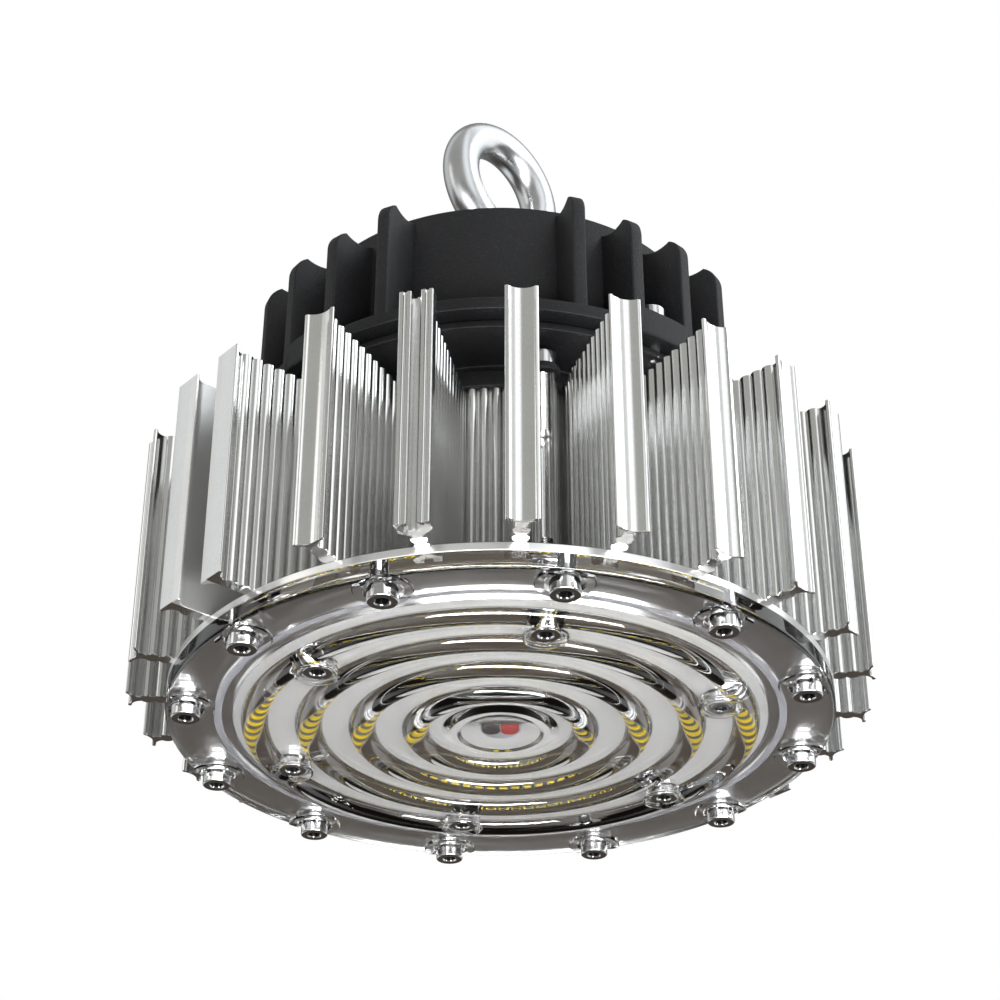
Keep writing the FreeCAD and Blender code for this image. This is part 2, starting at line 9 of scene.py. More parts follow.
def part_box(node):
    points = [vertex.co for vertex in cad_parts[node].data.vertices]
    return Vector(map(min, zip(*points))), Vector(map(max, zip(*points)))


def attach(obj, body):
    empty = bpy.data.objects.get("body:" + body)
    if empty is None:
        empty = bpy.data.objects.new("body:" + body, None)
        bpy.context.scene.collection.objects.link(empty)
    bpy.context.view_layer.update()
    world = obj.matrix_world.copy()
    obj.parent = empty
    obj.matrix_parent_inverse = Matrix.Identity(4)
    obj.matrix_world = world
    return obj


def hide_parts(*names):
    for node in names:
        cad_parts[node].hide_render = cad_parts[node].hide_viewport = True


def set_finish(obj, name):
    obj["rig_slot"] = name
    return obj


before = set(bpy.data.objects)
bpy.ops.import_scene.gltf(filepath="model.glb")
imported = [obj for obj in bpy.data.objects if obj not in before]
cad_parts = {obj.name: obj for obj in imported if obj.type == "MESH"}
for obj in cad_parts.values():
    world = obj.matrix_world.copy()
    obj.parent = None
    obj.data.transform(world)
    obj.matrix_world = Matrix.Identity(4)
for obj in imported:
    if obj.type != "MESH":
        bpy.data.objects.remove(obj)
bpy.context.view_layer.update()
mm = 0.001
print("frame loaded:", len(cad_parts), "nodes")


# sizes are in millimetres, and heights and reaches come from the frame

def low(node):
    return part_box(node)[0].z / mm


def high(node):
    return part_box(node)[1].z / mm


def reach(node):
    # outer radius of a node that is round about the axis
    return (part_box(node)[1].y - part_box(node)[0].y) / 2 / mm


def mirroredTurns(turn):
    # the same angle on both sides of both plain panels
    return [axis + side * turn for axis in (panelTurn, panelTurn + 180) for side in (-1, 1)]


slotTurn = -90.0                                   # where the flat-walled slot looks
panelTurn = -45.0                                  # where the housing's plain panel looks
m4 = {"r": 2.0, "headR": 3.5, "headH": 4.0, "key": 3.0, "keyDepth": 2.2, "chamfer": 0.35, "pitch": 0.7}
rimCircle = reach("lens_rim_screws") - m4["headR"]
innerCircle = rimCircle - 20.6                     # the inner screws stand that far in
wireHole = 4.6                                     # radius of the leads' hole in the plate and the board
lugCircle = 60.0                                   # of the screws on the housing's low walls
shankGap = 0.03                                    # round a screw in its hole
plateBottom, finsBottom = low("base_plate"), high("base_plate")
finsTop = high("heatsink")
boardFace = low("led_board")
lensFace = boardFace - 0.3                         # the lens's inner face, just clear of the board
lensTop = plateBottom - 0.05                       # a hair of air under the plate
flangeBottom = low("driver_housing")
sealBottom = low("housing_gasket")
turretTop = low("eye_washer")
rimTurns = [30.0 * i for i in range(12)]
innerTurns = [slotTurn + 60.0 * i for i in range(6)]
footTurns = [-30.0, 90.0, 210.0]
panelHalf = 21.5                                   # angle from a panel's middle to its first rib
ribPitch = 13.7                                    # and from rib to rib
lugTurns = mirroredTurns(panelHalf + 1.5 * ribPitch)


def arcThrough(a, m, b, steps):
    # circle through three points: centre from the two chords' bisectors, then even turns from a to b
    (ax, ay), (mx, my), (bx, by) = a, m, b
    d = 2 * (ax * (my - by) + mx * (by - ay) + bx * (ay - my))
    a2, m2, b2 = ax * ax + ay * ay, mx * mx + my * my, bx * bx + by * by
    cx = (a2 * (my - by) + m2 * (by - ay) + b2 * (ay - my)) / d
    cy = (a2 * (bx - mx) + m2 * (ax - bx) + b2 * (mx - ax)) / d
    t0, t1 = math.atan2(ay - cy, ax - cx), math.atan2(by - cy, bx - cx)
    side = math.atan2(my - cy, mx - cx)
    if (side - t0) % (2 * math.pi) > (t1 - t0) % (2 * math.pi):
        sweep = -((t0 - t1) % (2 * math.pi))
    else:
        sweep = (t1 - t0) % (2 * math.pi)
    t = t0 + sweep * np.arange(1, steps + 1) / steps
    r = math.hypot(ax - cx, ay - cy)
    return np.stack([cx + r * np.cos(t), cy + r * np.sin(t)], -1)


def pathOf(start, steps, fine=6):
    # a path of points: each step is a point, or a (middle, end) pair for an arc
    pieces = [np.array([start], float)]
    for step in steps:
        if isinstance(step[0], tuple):
            pieces.append(arcThrough(tuple(pieces[-1][-1]), step[0], step[1], fine))
        else:
            pieces.append(np.array([step], float))
    return np.concatenate(pieces)


def rounded(points, radius, steps=4):
    # a closed path with each corner swapped for a quadratic curve that starts and ends radius away from it
    p = np.asarray(points, float)
    before, after = np.roll(p, 1, 0) - p, np.roll(p, -1, 0) - p
    lb, la = np.linalg.norm(before, axis=1), np.linalg.norm(after, axis=1)
    cut = np.minimum(radius, 0.45 * np.minimum(lb, la))[:, None]
    s, e = p + before / lb[:, None] * cut, p + after / la[:, None] * cut
    t = np.linspace(0, 1, steps + 1)[None, :, None]
    curve = (1 - t) ** 2 * s[:, None] + 2 * t * (1 - t) * p[:, None] + t ** 2 * e[:, None]
    return curve.reshape(-1, p.shape[1])


def gridFaces(rows, cols, wrapRows=False, wrapCols=False, base=0):
    # four-cornered faces between the neighbours of a grid
    i = np.arange(rows if wrapRows else rows - 1)[:, None]
    j = np.arange(cols if wrapCols else cols - 1)[None, :]
    i2, j2 = (i + 1) % rows, (j + 1) % cols
    quad = np.stack([i * cols + j, i * cols + j2, i2 * cols + j2, i2 * cols + j], -1)
    return quad.reshape(-1, 4) + base


def lathe(profile, turns=192, closed=True):
    # surface of revolution: x = r cos a, y = r sin a, z from the profile
    a = np.linspace(0, 2 * math.pi, turns, endpoint=False)
    r, z = profile[:, 0][:, None], profile[:, 1][:, None]
    grid = np.stack([r * np.cos(a), r * np.sin(a), z + 0 * a], -1)
    return grid.reshape(-1, 3), gridFaces(len(profile), turns, closed, True).tolist()


def prism(path, bottom, top, edge=0.0, holes=()):
    # a closed path carried up, with a small bevel at both ends; the ends are filled with triangles
    loops = [np.asarray(path, float)] + [np.asarray(h, float) for h in holes]
    verts, faces, ends, base = [], [], ([], []), 0
    for loop in loops:
        along = np.roll(loop, -1, 0) - np.roll(loop, 1, 0)
        along /= np.linalg.norm(along, axis=1)[:, None]
        inward = np.stack([-along[:, 1], along[:, 0]], -1)
        levels = [(0, bottom), (0, top)]
        if edge:
            levels = [(edge, bottom), (0, bottom + edge), (0, top - edge), (edge, top)]
        rings = [np.column_stack([loop + inward * off, np.full(len(loop), z)]) for off, z in levels]
        verts.append(np.concatenate(rings))
        faces += gridFaces(len(levels), len(loop), False, True, base).tolist()
        ends[0].append((rings[0], base))
        ends[1].append((rings[-1], base + (len(levels) - 1) * len(loop)))
        base += len(levels) * len(loop)
    for which, end in enumerate(ends):
        index = np.concatenate([np.arange(len(ring)) + start for ring, start in end])
        fill = tessellate_polygon([[Vector(p) for p in ring] for ring, start in end])
        tri = index[np.array(fill)]
        faces += (tri if which else tri[:, ::-1]).tolist()
    return np.concatenate(verts), faces


def slab(path, thick, edge, steps=3):
    # a closed path in radius and height made a plate; the path shrinks near each face to round the edges
    p = np.asarray(path, float)
    along = np.roll(p, -1, 0) - np.roll(p, 1, 0)
    along /= np.linalg.norm(along, axis=1)[:, None]
    inward = np.stack([-along[:, 1], along[:, 0]], -1)
    t = np.linspace(0, math.pi / 2, steps + 1)
    off = np.concatenate([edge * (1 - np.sin(t)), edge * (1 - np.sin(t[::-1]))])
    y = np.concatenate([-thick / 2 + edge * (1 - np.cos(t)), thick / 2 - edge * (1 - np.cos(t[::-1]))])
    rings = p[None] + inward[None] * off[:, None, None]
    grid = np.stack([rings[..., 0], y[:, None] + 0 * rings[..., 0], rings[..., 1]], -1)
    n = len(p)
    faces = gridFaces(len(off), n, False, True).tolist()
    faces += [list(range(n))[::-1], list(range((len(off) - 1) * n, len(off) * n))]
    return grid.reshape(-1, 3), faces


def moved(part, shift=(0, 0, 0), turn=0.0):
    # turned about the axis after the shift
    verts, faces = part
    v = np.asarray(verts) + np.asarray(shift, float)
    c, s = math.cos(math.radians(turn)), math.sin(math.radians(turn))
    return np.column_stack([v[:, 0] * c - v[:, 1] * s, v[:, 0] * s + v[:, 1] * c, v[:, 2]]), faces


def around(part, turns):
    return [moved(part, turn=t) for t in turns]


def every(count, start=0.0):
    return [start + 360.0 * i / count for i in range(count)]


def buildPiece(name, parts, replaced=(), sharp=35.0, slotName=None):
    # joins the parts, welds them, turns the faces outwards and hands the piece to the frame
    verts, faces, base = [], [], 0
    for v, f in parts:
        verts.append(v)
        faces += [[i + base for i in face] for face in f]
        base += len(v)
    mesh = bpy.data.meshes.new(name)
    mesh.from_pydata((np.concatenate(verts) * mm).tolist(), [], faces)
    finishMesh(mesh, sharp)
    piece = bpy.data.objects.new(name, mesh)
    bpy.context.scene.collection.objects.link(piece)
    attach(piece, "root")
    if replaced:
        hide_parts(*replaced)
    if slotName:
        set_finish(piece, slotName)
    return piece


def finishMesh(mesh, sharp):
    bm = bmesh.new()
    bm.from_mesh(mesh)
    bmesh.ops.remove_doubles(bm, verts=bm.verts, dist=1e-7)
    bmesh.ops.dissolve_degenerate(bm, dist=1e-7, edges=bm.edges)
    bmesh.ops.recalc_face_normals(bm, faces=bm.faces)
    bm.to_mesh(mesh)
    bm.free()
    mesh.shade_smooth()
    mesh.set_sharp_from_angle(angle=math.radians(sharp))


def carve(piece, tool, operation, sharp=30.0):
    # a boolean with another piece, applied, and the tool removed
    modifier = piece.modifiers.new("carve", "BOOLEAN")
    modifier.operation = operation
    modifier.solver = "EXACT"
    modifier.object = tool
    graph = bpy.context.evaluated_depsgraph_get()
    mesh = bpy.data.meshes.new_from_object(piece.evaluated_get(graph))
    piece.modifiers.clear()
    old = piece.data
    piece.data = mesh
    bpy.data.meshes.remove(old)
    bpy.data.objects.remove(tool)
    mesh.shade_smooth()
    mesh.set_sharp_from_angle(angle=math.radians(sharp))


def circle(r, steps=64, centre=(0, 0), start=0.0):
    # anticlockwise
    a = math.radians(start) + np.linspace(0, 2 * math.pi, steps, endpoint=False)
    return np.column_stack([centre[0] + r * np.cos(a), centre[1] + r * np.sin(a)])


def polar(r, turn):
    a = math.radians(turn)
    return (r * math.cos(a), r * math.sin(a))


lens = {"r": reach("lens"), "edge": 1.0, "valley": lensFace - 2.2, "rings": [20.4, 33.2, 46.0, 58.8],
        "ridgeHalf": 3.3, "ridgeDrop": 2.7, "pocketHalf": 2.2, "pocketRise": 1.1, "domeFoot": 14.2,
        "domeStep": 11.6, "domeR": 9.6, "stepDrop": 0.9, "crown": 0.9, "bossR": 6.7, "bossDrop": 0.8,
        "bossBore": 4.6, "cupR": 4.6, "cupRim": 5.3, "cupFace": low("lens"), "cupBore": 3.75, "cupMouth": 4.7,
        "padR": 2.8, "boardR": reach("led_board"), "gasketR": 67.5, "gasketHalf": 0.95, "gasketH": 1.2}


def lensProfile():
    # walked from the rim in along the outer face and back along the inner one
    k = lens
    valley, bend = k["valley"], k["edge"] * (1 - math.sqrt(0.5))
    path = [pathOf((k["r"], lensTop), [
        (k["r"], valley + k["edge"]), ((k["r"] - bend, valley + bend), (k["r"] - k["edge"], valley))], 6)]
    for r in reversed(k["rings"]):
        path.append(pathOf((r + k["ridgeHalf"], valley),
                           [((r, valley - k["ridgeDrop"]), (r - k["ridgeHalf"], valley))], 40))
    t = np.linspace(0, 1, 24)[:-1]
    sunk = valley - k["stepDrop"]
    foot = [(k["domeFoot"] + 1, valley), (k["domeFoot"], valley), (k["domeStep"] + 0.3, sunk),
            (k["domeR"] + 0.9, sunk), (k["domeR"], sunk + 0.5), (k["domeR"] - 0.3, sunk + 0.5)]
    path.append(rounded(foot, 0.3)[5:-5])
    dome = np.column_stack([k["domeR"] * (1 - t), sunk + 0.3 - k["crown"] * (1 - (1 - t) ** 2)])
    path.append(dome)
    path.append(np.array([[0, dome[-1][1] - 0.02], [0, lensFace]]))
    for r in k["rings"]:
        path.append(pathOf((r - k["pocketHalf"], lensFace),
                           [((r, lensFace - k["pocketRise"]), (r + k["pocketHalf"], lensFace))], 20))
    groove = plateBottom - k["gasketH"]
    near, far = k["gasketR"] - k["gasketHalf"], k["gasketR"] + k["gasketHalf"]
    path.append(np.array([(k["boardR"] + 0.5, lensFace), (k["boardR"] + 0.5, lensTop), (near, lensTop),
                          (near, groove), (far, groove), (far, lensTop)]))
    return np.concatenate(path)


def makeLens():
    k = lens
    body = buildPiece("lensClear", [lathe(lensProfile(), 360)], ["lens"], slotName="clear_pc")
    neck, face = k["cupR"], k["cupFace"]
    cup = pathOf((0, face), [
        (k["cupRim"] - 0.3, face), ((k["cupRim"] - 0.08, face + 0.1), (k["cupRim"], face + 0.35)),
        (k["cupRim"] - 0.05, face + 0.6), ((neck + 0.2, face + 1.0), (neck, face + 1.6)),
        (neck, lensFace - 0.6), (k["padR"], lensFace - 0.6), (k["padR"], boardFace - 0.05),
        (0, boardFace - 0.05)])
    cups = around(moved(lathe(cup, 64, False), (innerCircle, 0, 0)), innerTurns)
    disc = circle(k["bossR"], 72, (rimCircle, 0))
    disc *= np.minimum(1, (k["r"] - k["edge"] + 0.03) / np.linalg.norm(disc, axis=1))[:, None]
    boss = prism(disc, k["valley"] - k["bossDrop"], k["valley"] + 0.6, 0.3)
    carve(body, buildPiece("cups", cups + around(boss, rimTurns)), "UNION")
    below, past, hole = -2, plateBottom + 2, m4["r"] + shankGap
    headFace = low("lens_inner_screws")
    headSeat = headFace + m4["headH"]
    bore = pathOf((0, below), [(k["cupMouth"], below), (k["cupMouth"], face), (k["cupBore"], headFace),
                               (k["cupBore"], headSeat), (hole, headSeat), (hole, past), (0, past)])
    rimSeat = m4["headH"] + 0.04
    seat = pathOf((0, below), [(k["bossBore"], below), (k["bossBore"], rimSeat), (hole, rimSeat),
                               (hole, past), (0, past)])
    bores = buildPiece("bores", around(moved(lathe(bore, 48, False), (innerCircle, 0, 0)), innerTurns)
                       + around(moved(lathe(seat, 48, False), (rimCircle, 0, 0)), rimTurns))
    carve(body, bores, "DIFFERENCE")
    return body


def makeGasket():
    # a hair smaller than its groove
    k = lens
    half, bottom, top = k["gasketHalf"] - 0.04, plateBottom - k["gasketH"] + 0.04, plateBottom - 0.02
    near, far = k["gasketR"] - half, k["gasketR"] + half
    ring = rounded([(near, bottom), (far, bottom), (far, top), (near, top)], 0.15)
    return buildPiece("gasketRing", [lathe(ring, 288)], ["lens_gasket"], slotName="silicone_grey")


def makePlates():
    bolts = [circle(m4["r"], 24, polar(innerCircle, t))[::-1] for t in innerTurns]
    rims = [circle(m4["r"], 24, polar(rimCircle, t))[::-1] for t in rimTurns]
    wires = [circle(wireHole, 32)[::-1]]
    disc = prism(circle(reach("base_plate"), 360), plateBottom, finsBottom, 0.18, bolts + rims + wires)
    plate = buildPiece("basePlateTurned", [disc], ["base_plate"], slotName="plate_alu")
    disc = prism(circle(reach("led_board"), 256), boardFace, plateBottom, 0.1, bolts + wires)
    board = buildPiece("boardPrinted", [disc], ["led_board"], slotName="board_white")
    return plate, board


fin = {"coreR": 48.5, "count": 24, "tip": 89.7, "capHalf": 3.76, "capLip": 0.9, "capHollow": 1.1, "neck": 2.6,
       "valley": 1.05, "ridge": 0.85, "ridges": 12, "slotPitch": 16.3, "slotWeb": 1.5, "bead": 0.8,
       "channelHalf": 1.1, "channelDepth": 3.2, "channelWall": 3.9, "ports": [-52.5, 127.5],
       "tubeR": 3.3, "tubeBore": 2.03, "tubeSlot": 1.3, "tubeNeck": 2.2, "duct": 6.0, "corePitch": 2.8}


def scallops(uEnd):
    # half thickness = valley + ridge * |sin|^0.7: round lobes with narrow grooves between them
    k = fin
    uStart = math.sqrt(k["coreR"] ** 2 - k["valley"] ** 2)
    t = np.linspace(0, k["ridges"], k["ridges"] * 10 + 1)
    u = uStart + (uEnd - uStart) * t / k["ridges"]
    v = k["valley"] + k["ridge"] * np.abs(np.sin(math.pi * t)) ** 0.7
    return np.column_stack([u, v])


def finSide(kind):
    # half a fin on its +v side, from the core to the tip
    k = fin
    tip = k["tip"]
    if kind == "port":
        floor = tip - k["channelDepth"]
        middle = (k["channelWall"] + k["channelHalf"]) / 2
        web = scallops(floor - k["neck"])
        end = pathOf(tuple(web[-1]), [
            ((floor - k["neck"] * 0.75, k["valley"] + k["neck"] * 0.35),
             (floor - k["neck"] * 0.3, k["channelWall"] - 0.2)),
            (floor, k["channelWall"]), (tip - 0.25, k["channelWall"]), (tip, k["channelWall"] - 0.25),
            (tip, middle + 0.45), ((tip - 0.45, middle), (tip, middle - 0.45)),
            (tip, k["channelHalf"] + 0.2), (tip - 0.2, k["channelHalf"]), (floor, k["channelHalf"]),
            (floor, 0.5), (floor + 0.5, 0.3), (floor + 0.5, 0.0)], 8)
        return np.concatenate([web[:-1], end])
    under = tip - k["capLip"]
    half = k["slotWeb"] if kind == "plain" else k["valley"]
    root = under - k["neck"]
    if kind == "plain":
        web = np.array([[math.sqrt(k["coreR"] ** 2 - half ** 2), half], [root, half]])
    else:
        web = scallops(root)
    end = pathOf((root, half), [
        ((under - k["neck"] * 0.3, half + k["neck"] * 0.3), (under, half + k["neck"] * 0.8)),
        (under, k["capHalf"] - 0.25), ((under + 0.08, k["capHalf"] - 0.07), (under + 0.25, k["capHalf"])),
        (tip - 0.3, k["capHalf"]), ((tip - 0.09, k["capHalf"] - 0.09), (tip, k["capHalf"] - 0.3))], 5)
    return np.concatenate([web[:-1], end])


def finPath(lowKind, highKind, flatCap=False):
    # out along the low side, across the cap and back along the high side
    k = fin
    out, back = finSide(lowKind) * [1, -1], finSide(highKind)[::-1]
    if "port" in (lowKind, highKind):
        return np.concatenate([out, back[1:]])
    if flatCap:
        return np.concatenate([out, back])
    edge, lip = k["capHalf"] - k["bead"], k["tip"] - 0.16
    hollow = pathOf((k["tip"], -edge), [
        (lip, 0.1 - edge), ((k["tip"] - k["capHollow"], 0), (lip, edge - 0.1)), (k["tip"], edge)], 14)
    return np.concatenate([out, hollow, back])


def tubePath():
    # a screw channel on the core, open to the outside
    k = fin
    u = innerCircle
    foot = math.sqrt(k["coreR"] ** 2 - k["tubeNeck"] ** 2)
    join = u - math.sqrt(k["tubeR"] ** 2 - k["tubeNeck"] ** 2)
    lip = u + math.sqrt(k["tubeR"] ** 2 - k["tubeSlot"] ** 2)
    mouth = u + math.sqrt(k["tubeBore"] ** 2 - k["tubeSlot"] ** 2)
    return pathOf((foot, -k["tubeNeck"]), [
        (join, -k["tubeNeck"]), ((u, -k["tubeR"]), (lip, -k["tubeSlot"])), (mouth, -k["tubeSlot"]),
        ((u - k["tubeBore"], 0), (mouth, k["tubeSlot"])), (lip, k["tubeSlot"]),
        ((u, k["tubeR"]), (join, k["tubeNeck"])), (foot, k["tubeNeck"])], 18)


def inSlot(turn):
    return abs((turn - slotTurn + 90) % 180 - 90) < 6


def coreWall(start, end, plain):
    # the core between two pieces of the outline: plain, or in lobes that start clear of the webs' own
    k = fin
    clear = 0.0 if plain else (k["ridge"] + 0.1) / k["coreR"]
    a = math.atan2(start[1], start[0]) + clear
    span = (math.atan2(end[1], end[0]) - clear - a) % (2 * math.pi)
    count = max(1, round(span * k["coreR"] / k["corePitch"]))
    t = np.linspace(0, count, 10 * count + 1)
    t = t[1:-1] if plain else t
    r = k["coreR"] + (0 if plain else k["ridge"]) * np.abs(np.sin(math.pi * t)) ** 0.7
    turns = a + span * t / count
    return np.column_stack([r * np.cos(turns), r * np.sin(turns)])


def turnedPath(path, turn, shift=0.0):
    c, s = math.cos(math.radians(turn)), math.sin(math.radians(turn))
    u, v = path[:, 0].copy(), path[:, 1] + shift
    if shift:
        u[[0, -1]] = np.sqrt(fin["coreR"] ** 2 - v[[0, -1]] ** 2)
    return np.column_stack([u * c - v * s, u * s + v * c])


def makeExtrusion():
    k = fin
    pieces = []
    for i in range(k["count"]):
        turn = slotTurn + (i + 0.5) * 360.0 / k["count"]
        if i not in (0, k["count"] // 2 - 1, k["count"] // 2, k["count"] - 1):
            kind = "port" if any(abs(turn - t) < 1 for t in k["ports"]) else "cap"
            pieces.append((turn, turnedPath(finPath(kind, kind), turn)))
    for axis in (slotTurn, slotTurn + 180):
        pieces.append((axis - 5, turnedPath(finPath("flat", "plain", True), axis, -k["slotPitch"] / 2)))
        pieces.append((axis + 5, turnedPath(finPath("plain", "flat", True), axis, k["slotPitch"] / 2)))
    for turn in innerTurns:
        pieces.append((turn, turnedPath(tubePath(), turn)))
    pieces.sort(key=lambda piece: piece[0] % 360)
    outline = []
    for (turn, path), (nextTurn, following) in zip(pieces, pieces[1:] + pieces[:1]):
        outline.append(path)
        outline.append(coreWall(path[-1], following[0], inSlot(turn) and inSlot(nextTurn)))
    duct = circle(k["duct"], 48)[::-1]
    part = prism(np.concatenate(outline), finsBottom, finsTop, 0.14, [duct])
    return buildPiece("extrusionFinned", [part], ["heatsink"], sharp=38.0, slotName="fin_alu")


base = {"footR": 50.0, "footTop": finsTop + 4.4, "earR": 4.2, "earTop": low("foot_screws") + 18.0,
        "pedestalR": 46.0, "trayR": reach("driver_base"), "trayT": 2.0}


def makeBase():
    k = base
    foot = lathe(rounded([(0, finsTop), (k["footR"], finsTop), (k["footR"], k["footTop"]), (0, k["footTop"])],
                         0.4), 288)
    half = np.radians(np.linspace(-90, 90, 33))
    tip = np.column_stack([innerCircle + k["earR"] * np.cos(half), k["earR"] * np.sin(half)])
    side = k["earR"] + 1.6 * (1 - np.sin(np.linspace(0, math.pi / 2, 8)))
    reachIn = np.linspace(k["footR"] - 0.4, k["footR"] + 1.6, 8)
    root = k["footR"] - 3
    tab = np.concatenate([tip, np.column_stack([reachIn[::-1], side[::-1]]), [(root, side[0])],
                          [(root, -side[0])], np.column_stack([reachIn, -side])])
    ears = around(prism(tab, finsTop + 0.02, k["earTop"], 0.3), footTurns)
    trayBottom, pedestalFoot = sealBottom - k["trayT"], k["footTop"] - 1
    tray = rounded([(0, pedestalFoot), (k["pedestalR"], pedestalFoot), (k["pedestalR"], trayBottom),
                    (k["trayR"], trayBottom), (k["trayR"], sealBottom), (0, sealBottom)], 0.4)
    return buildPiece("baseCast", [foot, lathe(tray, 256)] + ears, ["driver_base"], slotName="black_cast")


housing = {"r": 52.2, "rimTop": 121.2, "rimH": 1.6, "flangeR": reach("driver_housing"), "flangeH": 3.4,
           "ribT": 3.4, "ribs": 4, "ribDrop": 5.0, "panelRibDrop": 2.4, "lugH": 4.2, "turretR": 12.9,
           "flare": 3.2}


def ribPath(top):
    # upright outer edge, round shoulder, a shallow saddle, then up to the wall
    k = housing
    r = k["flangeR"]
    return pathOf((k["r"] - 1.5, flangeBottom + 0.3), [
        (r + 0.02, flangeBottom + 0.3), (r - 0.1, flangeBottom + k["flangeH"]), (r - 0.3, top - 6.0),
        ((r - 1.3, top - 2.4), (r - 3.8, top)), ((r - 7.4, top - 0.7), (k["r"] - 0.6, top + 1.7)),
        (k["r"] - 1.5, top + 1.7)], 10)


def makeHousing():
    k = housing
    flangeTop, deck = flangeBottom + k["flangeH"], k["rimTop"] - k["rimH"]
    shell = [(0, flangeBottom), (k["flangeR"], flangeBottom), (k["flangeR"], flangeTop),
             (k["r"], flangeTop), (k["r"], k["rimTop"]), (k["r"] - 1.8, k["rimTop"]), (k["r"] - 2.2, deck),
             (k["turretR"] + k["flare"], deck), (k["turretR"], deck + 3.2), (k["turretR"], turretTop),
             (0, turretTop)]
    parts = [lathe(rounded(shell, 0.5), 288)]
    for i in range(k["ribs"]):
        rib = slab(ribPath(k["rimTop"] - (k["ribDrop"] if i else k["panelRibDrop"])), k["ribT"], 0.55)
        parts += around(rib, mirroredTurns(panelHalf + i * ribPitch))
    t = np.radians(np.linspace(-ribPitch / 2, ribPitch / 2, 24))
    r = k["flangeR"] + 0.02
    outer = np.column_stack([r * np.cos(t), r * np.sin(t)])
    inner = np.column_stack([(k["r"] - 1) * np.cos(t[::-1]), (k["r"] - 1) * np.sin(t[::-1])])
    lug = prism(np.concatenate([outer, inner]), flangeBottom + 0.4, flangeTop + k["lugH"], 0.35)
    parts += around(lug, lugTurns)
    return buildPiece("housingCast", parts, ["driver_housing"], slotName="black_cast")


def headRings(key, depth, headR, headH, chamfer, columns=48):
    # rows of radii and heights from the underside of the head round to the bottom of its hex socket
    a = np.linspace(0, 2 * math.pi, columns, endpoint=False)
    hexR = key / 2 / np.cos((a + math.pi / 6) % (math.pi / 3) - math.pi / 6)
    corner = key / 2 / math.cos(math.pi / 6)
    one = np.ones(columns)
    rows = [(0.1 * one, headH), (headR * one, headH), (headR * one, chamfer + 0.1)]
    for q in np.linspace(0, math.pi / 2, 4):
        rows.append(((headR - chamfer * (1 - math.cos(q))) * one, chamfer * (1 - math.sin(q))))
    rows += [((corner + 0.28) * one, 0.0), ((corner + 0.05) * one, 0.12), (hexR, 0.3), (hexR, depth),
             (hexR * 0.5, depth + 0.35), (0.02 * one, depth + 0.7)]
    r = np.array([row[0] for row in rows])
    z = np.array([row[1] for row in rows])[:, None] + 0 * r
    grid = np.stack([r * np.cos(a), r * np.sin(a), z], -1)
    return grid.reshape(-1, 3), gridFaces(len(rows), columns, False, True).tolist()


def shank(r, bottom, top, pitch, thread, columns=32):
    # thread: r falls by up to 0.45 * pitch in a helix, a triangle wave of height and turn
    a = np.linspace(0, 2 * math.pi, columns, endpoint=False)[None]
    rows = int((top - bottom) / pitch * 8) + 1 if thread else 2
    z = np.linspace(bottom, top, rows)[:, None]
    wave = np.abs(((z / pitch - a / (2 * math.pi)) % 1) * 2 - 1) if thread else 0 * z * a
    radius = r - 0.45 * pitch * wave
    grid = np.stack([radius * np.cos(a), radius * np.sin(a), z + 0 * a], -1)
    verts = np.concatenate([grid.reshape(-1, 3), [[0, 0, bottom], [0, 0, top + 0.3]]])
    n = rows * columns
    faces = gridFaces(rows, columns, False, True).tolist()
    faces += [[n, (j + 1) % columns, j] for j in range(columns)]
    faces += [[n + 1, n - columns + j, n - columns + (j + 1) % columns] for j in range(columns)]
    return verts, faces


def capScrew(length, thread=False):
    # face of the head at z = 0, the thread upwards
    return [headRings(m4["key"], m4["keyDepth"], m4["headR"], m4["headH"], m4["chamfer"]),
            shank(m4["r"], m4["headH"] - 0.05, m4["headH"] + length, m4["pitch"], thread)]


def flipped(part):
    verts, faces = part
    return np.asarray(verts) * [1, -1, -1], faces


def placedAll(parts, shift, turns):
    return [moved(part, shift, t) for part in parts for t in turns]


def markSockets(piece, r, turns, face, up):
    # 1 on the faces within the hex sockets, where the finish paints the shade of the recess
    mesh = piece.data
    centres = np.empty(len(mesh.polygons) * 3)
    mesh.polygons.foreach_get("center", centres)
    centres = centres.reshape(-1, 3) / mm
    away = np.min([np.hypot(*(centres[:, :2] - polar(r, t)).T) for t in turns], axis=0)
    deep = (centres[:, 2] - face) * up
    corner = m4["key"] / 2 / math.cos(math.pi / 6)
    socketShadeFaces = (away < corner + 0.1) & (deep > 0.25) & (deep < m4["keyDepth"] + 1)
    mark = mesh.attributes.new("socket", "FLOAT", "FACE")
    mark.data.foreach_set("value", socketShadeFaces.astype(float))


def screwSet(name, node, circleR, turns, thread=False, headUp=False):
    # the node's screws round the axis: their heads' faces are its bottom, or its top if the heads are up
    length = high(node) - low(node) - m4["headH"]
    screw = capScrew(length, thread)
    face = high(node) if headUp else low(node)
    if headUp:
        screw = [flipped(part) for part in screw]
    piece = buildPiece(name, placedAll(screw, (circleR, 0, face), turns), [node], slotName="steel")
    markSockets(piece, circleR, turns, face, -1 if headUp else 1)
    return piece


eye = {"turn": 95.6, "r": 15.55, "wire": 5.0, "centre": 168.5, "collarR": 11.0, "collarH": 3.4, "shankR": 5.0}


